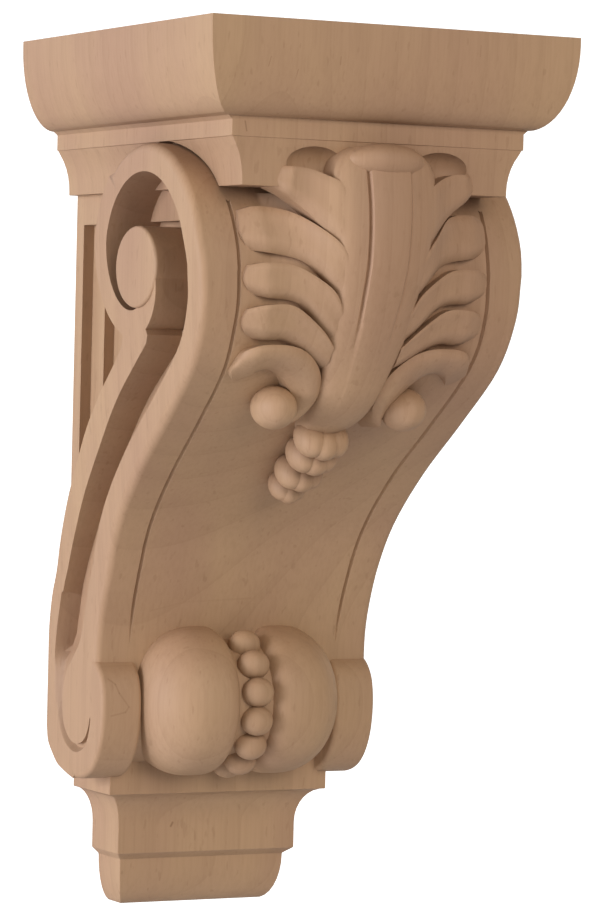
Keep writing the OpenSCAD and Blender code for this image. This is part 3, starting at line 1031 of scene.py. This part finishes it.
def maple():
    """Sanded raw maple: soft growth lines, fine fibres, small ray flecks and darker end grain"""
    finish = bpy.context.scene.corbel_finish
    material = bpy.data.materials.new("raw_maple")
    material.use_nodes = True
    tree = material.node_tree
    shader = tree.nodes["Principled BSDF"]
    coords = node(tree, "ShaderNodeTexCoord", (-1800, 0)).outputs["Object"]

    patches = node(tree, "ShaderNodeTexNoise", (-1300, 500), {"Scale": 1.0, "Detail": 3.0})
    tree.links.new(mapped(tree, coords, (-1500, 500), (26, 26, 9)), patches.inputs["Vector"])
    base = node(tree, "ShaderNodeMix", (-900, 500), data_type="RGBA")
    tree.links.new(ramp(tree, patches.outputs["Fac"], (-1120, 500), ((0.35, 0), (0.65, 1))), base.inputs[0])
    base.inputs[6].default_value = (*finish.wood, 1)
    base.inputs[7].default_value = (*finish.pink, 1)
    colour = base.outputs[2]

    rings = node(
        tree, "ShaderNodeTexWave", (-1300, 200),
        {"Scale": 2 * pi / (20 * finish.ring_gap), "Distortion": 2.2, "Detail": 2.0, "Detail Scale": 0.35},
        wave_type="RINGS", rings_direction="Z", wave_profile="SAW",
    )
    tree.links.new(
        mapped(tree, coords, (-1500, 200), (1, 1, 0.16), (0.035, 0.115, 0.01), (radians(2), radians(-3), 0)),
        rings.inputs["Vector"],
    )
    lines = ramp(tree, rings.outputs["Fac"], (-1120, 200), ((0.55, 0), (0.93, 0.6), (0.985, 1), (1.0, 0.2)))
    colour = tinted(tree, colour, lines, finish.growth, (-700, 300), 0.15)

    fibres = node(tree, "ShaderNodeTexNoise", (-1300, -100), {"Scale": 1.0, "Detail": 3.0, "Roughness": 0.6})
    tree.links.new(mapped(tree, coords, (-1500, -100), (900, 900, 28)), fibres.inputs["Vector"])
    strands = ramp(tree, fibres.outputs["Fac"], (-1120, -100), ((0.42, 0), (0.72, 1)))
    colour = tinted(tree, colour, strands, finish.growth, (-500, 200), 0.16)

    flecks = node(tree, "ShaderNodeTexNoise", (-1300, -400), {"Scale": 1.0, "Detail": 1.0})
    tree.links.new(mapped(tree, coords, (-1500, -400), (620, 620, 190)), flecks.inputs["Vector"])
    dashes = ramp(tree, flecks.outputs["Fac"], (-1120, -400), ((0.66, 0), (0.74, 1)))
    colour = tinted(tree, colour, dashes, finish.growth, (-300, 100), 0.22)

    normal = node(tree, "ShaderNodeNewGeometry", (-1500, -700))
    split = node(tree, "ShaderNodeSeparateXYZ", (-1300, -700))
    tree.links.new(normal.outputs["Normal"], split.inputs[0])
    level = node(tree, "ShaderNodeMath", (-1120, -700), operation="ABSOLUTE")
    tree.links.new(split.outputs["Z"], level.inputs[0])
    end_grain = ramp(tree, level.outputs[0], (-950, -700), ((0.55, 0), (0.95, 1)))
    colour = tinted(tree, colour, end_grain, finish.growth, (-100, 0), 0.22)

    count = 0
    for places, width, strength, squash in MARKS:
        for start, end in zip(places, places[1:]):
            mask = mark(tree, coords, start, end, width, squash, (-1300, -1000 - 160 * count))
            colour = tinted(tree, colour, mask, finish.growth, (100 + 40 * count, 0), strength)
            count += 1

    tree.links.new(colour, shader.inputs["Base Color"])
    shader.inputs["Roughness"].default_value = finish.roughness
    shader.inputs["Specular IOR Level"].default_value = 0.3

    bump = node(tree, "ShaderNodeBump", (-100, -400), {"Strength": 0.25, "Distance": 0.12 * MM})
    tree.links.new(fibres.outputs["Fac"], bump.inputs["Height"])
    tree.links.new(bump.outputs["Normal"], shader.inputs["Normal"])
    return material


# ---------------------------------------------------------------- stage


def lay_floor(drop):
    """A pale floor that looks white but lights nothing with its glow"""
    bpy.ops.mesh.primitive_plane_add(size=40, location=(0, 0, LOW.z - drop))
    floor = added("floor")
    bpy.ops.object.transform_apply(location=True, rotation=True, scale=True)
    pale = bpy.data.materials.new("pale_floor")
    pale.use_nodes = True
    shader = pale.node_tree.nodes["Principled BSDF"]
    shader.inputs["Base Color"].default_value = (0.9, 0.9, 0.9, 1)
    shader.inputs["Roughness"].default_value = 0.9
    shader.inputs["Emission Color"].default_value = (1, 1, 1, 1)
    seen = node(pale.node_tree, "ShaderNodeLightPath", (-400, -200)).outputs["Is Camera Ray"]
    pale.node_tree.links.new(seen, shader.inputs["Emission Strength"])
    floor.data.materials.append(pale)


def studio():
    """A room that is brightest low down and behind the wall plane"""
    world = bpy.data.worlds.new("studio")
    world.use_nodes = True
    tree = world.node_tree
    where = node(tree, "ShaderNodeTexCoord", (-900, 0)).outputs["Generated"]
    split = node(tree, "ShaderNodeSeparateXYZ", (-700, 0))
    tree.links.new(where, split.inputs[0])
    sky = ramp(tree, split.outputs["Z"], (-500, 0), ((0.12, 1.0), (0.55, 0.35)))
    room = ramp(tree, split.outputs["Y"], (-500, -250), ((0.0, 0.45), (0.5, 1.0)))
    both = node(tree, "ShaderNodeMix", (-200, 0), {0: 1.0}, data_type="RGBA", blend_type="MULTIPLY")
    tree.links.new(sky, both.inputs[6])
    tree.links.new(room, both.inputs[7])
    tree.links.new(both.outputs[2], tree.nodes["Background"].inputs["Color"])
    tree.nodes["Background"].inputs["Strength"].default_value = 1.35
    return world


def add_light(name, place, size, power, tint):
    """A square light at a place in metres, turned towards the bracket"""
    bpy.ops.object.light_add(type="AREA", location=place)
    light = bpy.context.object
    light.name = name
    light.data.size = size
    light.data.energy = power
    light.data.color = tint
    light.rotation_euler = (-Vector(place)).to_track_quat("-Z", "Y").to_euler()


def add_camera(view):
    """The camera, which looks at a place near the bracket's middle"""
    a = view.azimuth
    e = view.elevation
    r = view.roll
    ahead = Vector((sin(a) * cos(e), cos(a) * cos(e), -sin(e)))
    level = Vector((cos(a), -sin(a), 0))
    upright = level.cross(ahead)
    right = cos(r) * level - sin(r) * upright
    up = sin(r) * level + cos(r) * upright
    target = Vector((0, (LOW.y + WALL) / 2, 0)) + view.aim_right * right + view.aim_up * up
    place = target - view.distance * ahead
    bpy.ops.object.camera_add(location=place)
    camera = bpy.context.object
    camera.matrix_world = Matrix.Translation(place) @ Matrix((right, up, -ahead)).transposed().to_4x4()
    camera.data.lens = view.lens
    camera.data.sensor_width = 36
    camera.data.sensor_fit = "AUTO"
    camera.data.clip_start = 0.01
    return camera


class CORBEL_OT_stage(bpy.types.Operator):
    """Set up the pale floor, the soft lights and the camera"""

    bl_idname = "corbel.stage"
    bl_label = "Stage"

    def execute(self, context):
        scene = context.scene
        deselect()
        lay_floor(scene.corbel_stage.drop)
        scene.world = studio()
        scene.view_settings.view_transform = "Standard"
        add_light("key", (-2.2, -0.15, 0.15), 1.1, 50, (0.93, 0.98, 1.12))
        add_light("fill", (0.1, -1.7, 0.7), 1.0, 17, (1, 0.96, 0.88))
        scene.camera = add_camera(scene.corbel_stage)
        return {"FINISHED"}


class CORBEL_PT_panel(bpy.types.Panel):
    """Lists the parts of the corbel"""

    bl_idname = "CORBEL_PT_panel"
    bl_label = "Carved corbel"
    bl_space_type = "VIEW_3D"
    bl_region_type = "UI"
    bl_category = "Corbel"

    def draw(self, context):
        for step in STEPS:
            self.layout.operator(step.bl_idname)
        for group in (context.scene.corbel_sizes, context.scene.corbel_finish, context.scene.corbel_stage):
            for name in group.__annotations__:
                self.layout.prop(group, name)


STEPS = (
    CORBEL_OT_cap, CORBEL_OT_scrolls, CORBEL_OT_roll, CORBEL_OT_block, CORBEL_OT_leaf, CORBEL_OT_finish,
    CORBEL_OT_stage,
)
GROUPS = {"corbel_sizes": CorbelSizes, "corbel_finish": CorbelFinish, "corbel_stage": CorbelStage}


def register():
    """Add the settings, the operators and the panel"""
    for group in GROUPS.values():
        bpy.utils.register_class(group)
    for name, group in GROUPS.items():
        setattr(bpy.types.Scene, name, PointerProperty(type=group))
    for step in STEPS + (CORBEL_PT_panel,):
        bpy.utils.register_class(step)


def unregister():
    """Remove what register added"""
    for step in reversed(STEPS + (CORBEL_PT_panel,)):
        bpy.utils.unregister_class(step)
    for name, group in GROUPS.items():
        delattr(bpy.types.Scene, name)
        bpy.utils.unregister_class(group)


def main():
    register()
    for step in STEPS:
        group, name = step.bl_idname.split(".")
        getattr(getattr(bpy.ops, group), name)()


if __name__ == "__main__":
    main()
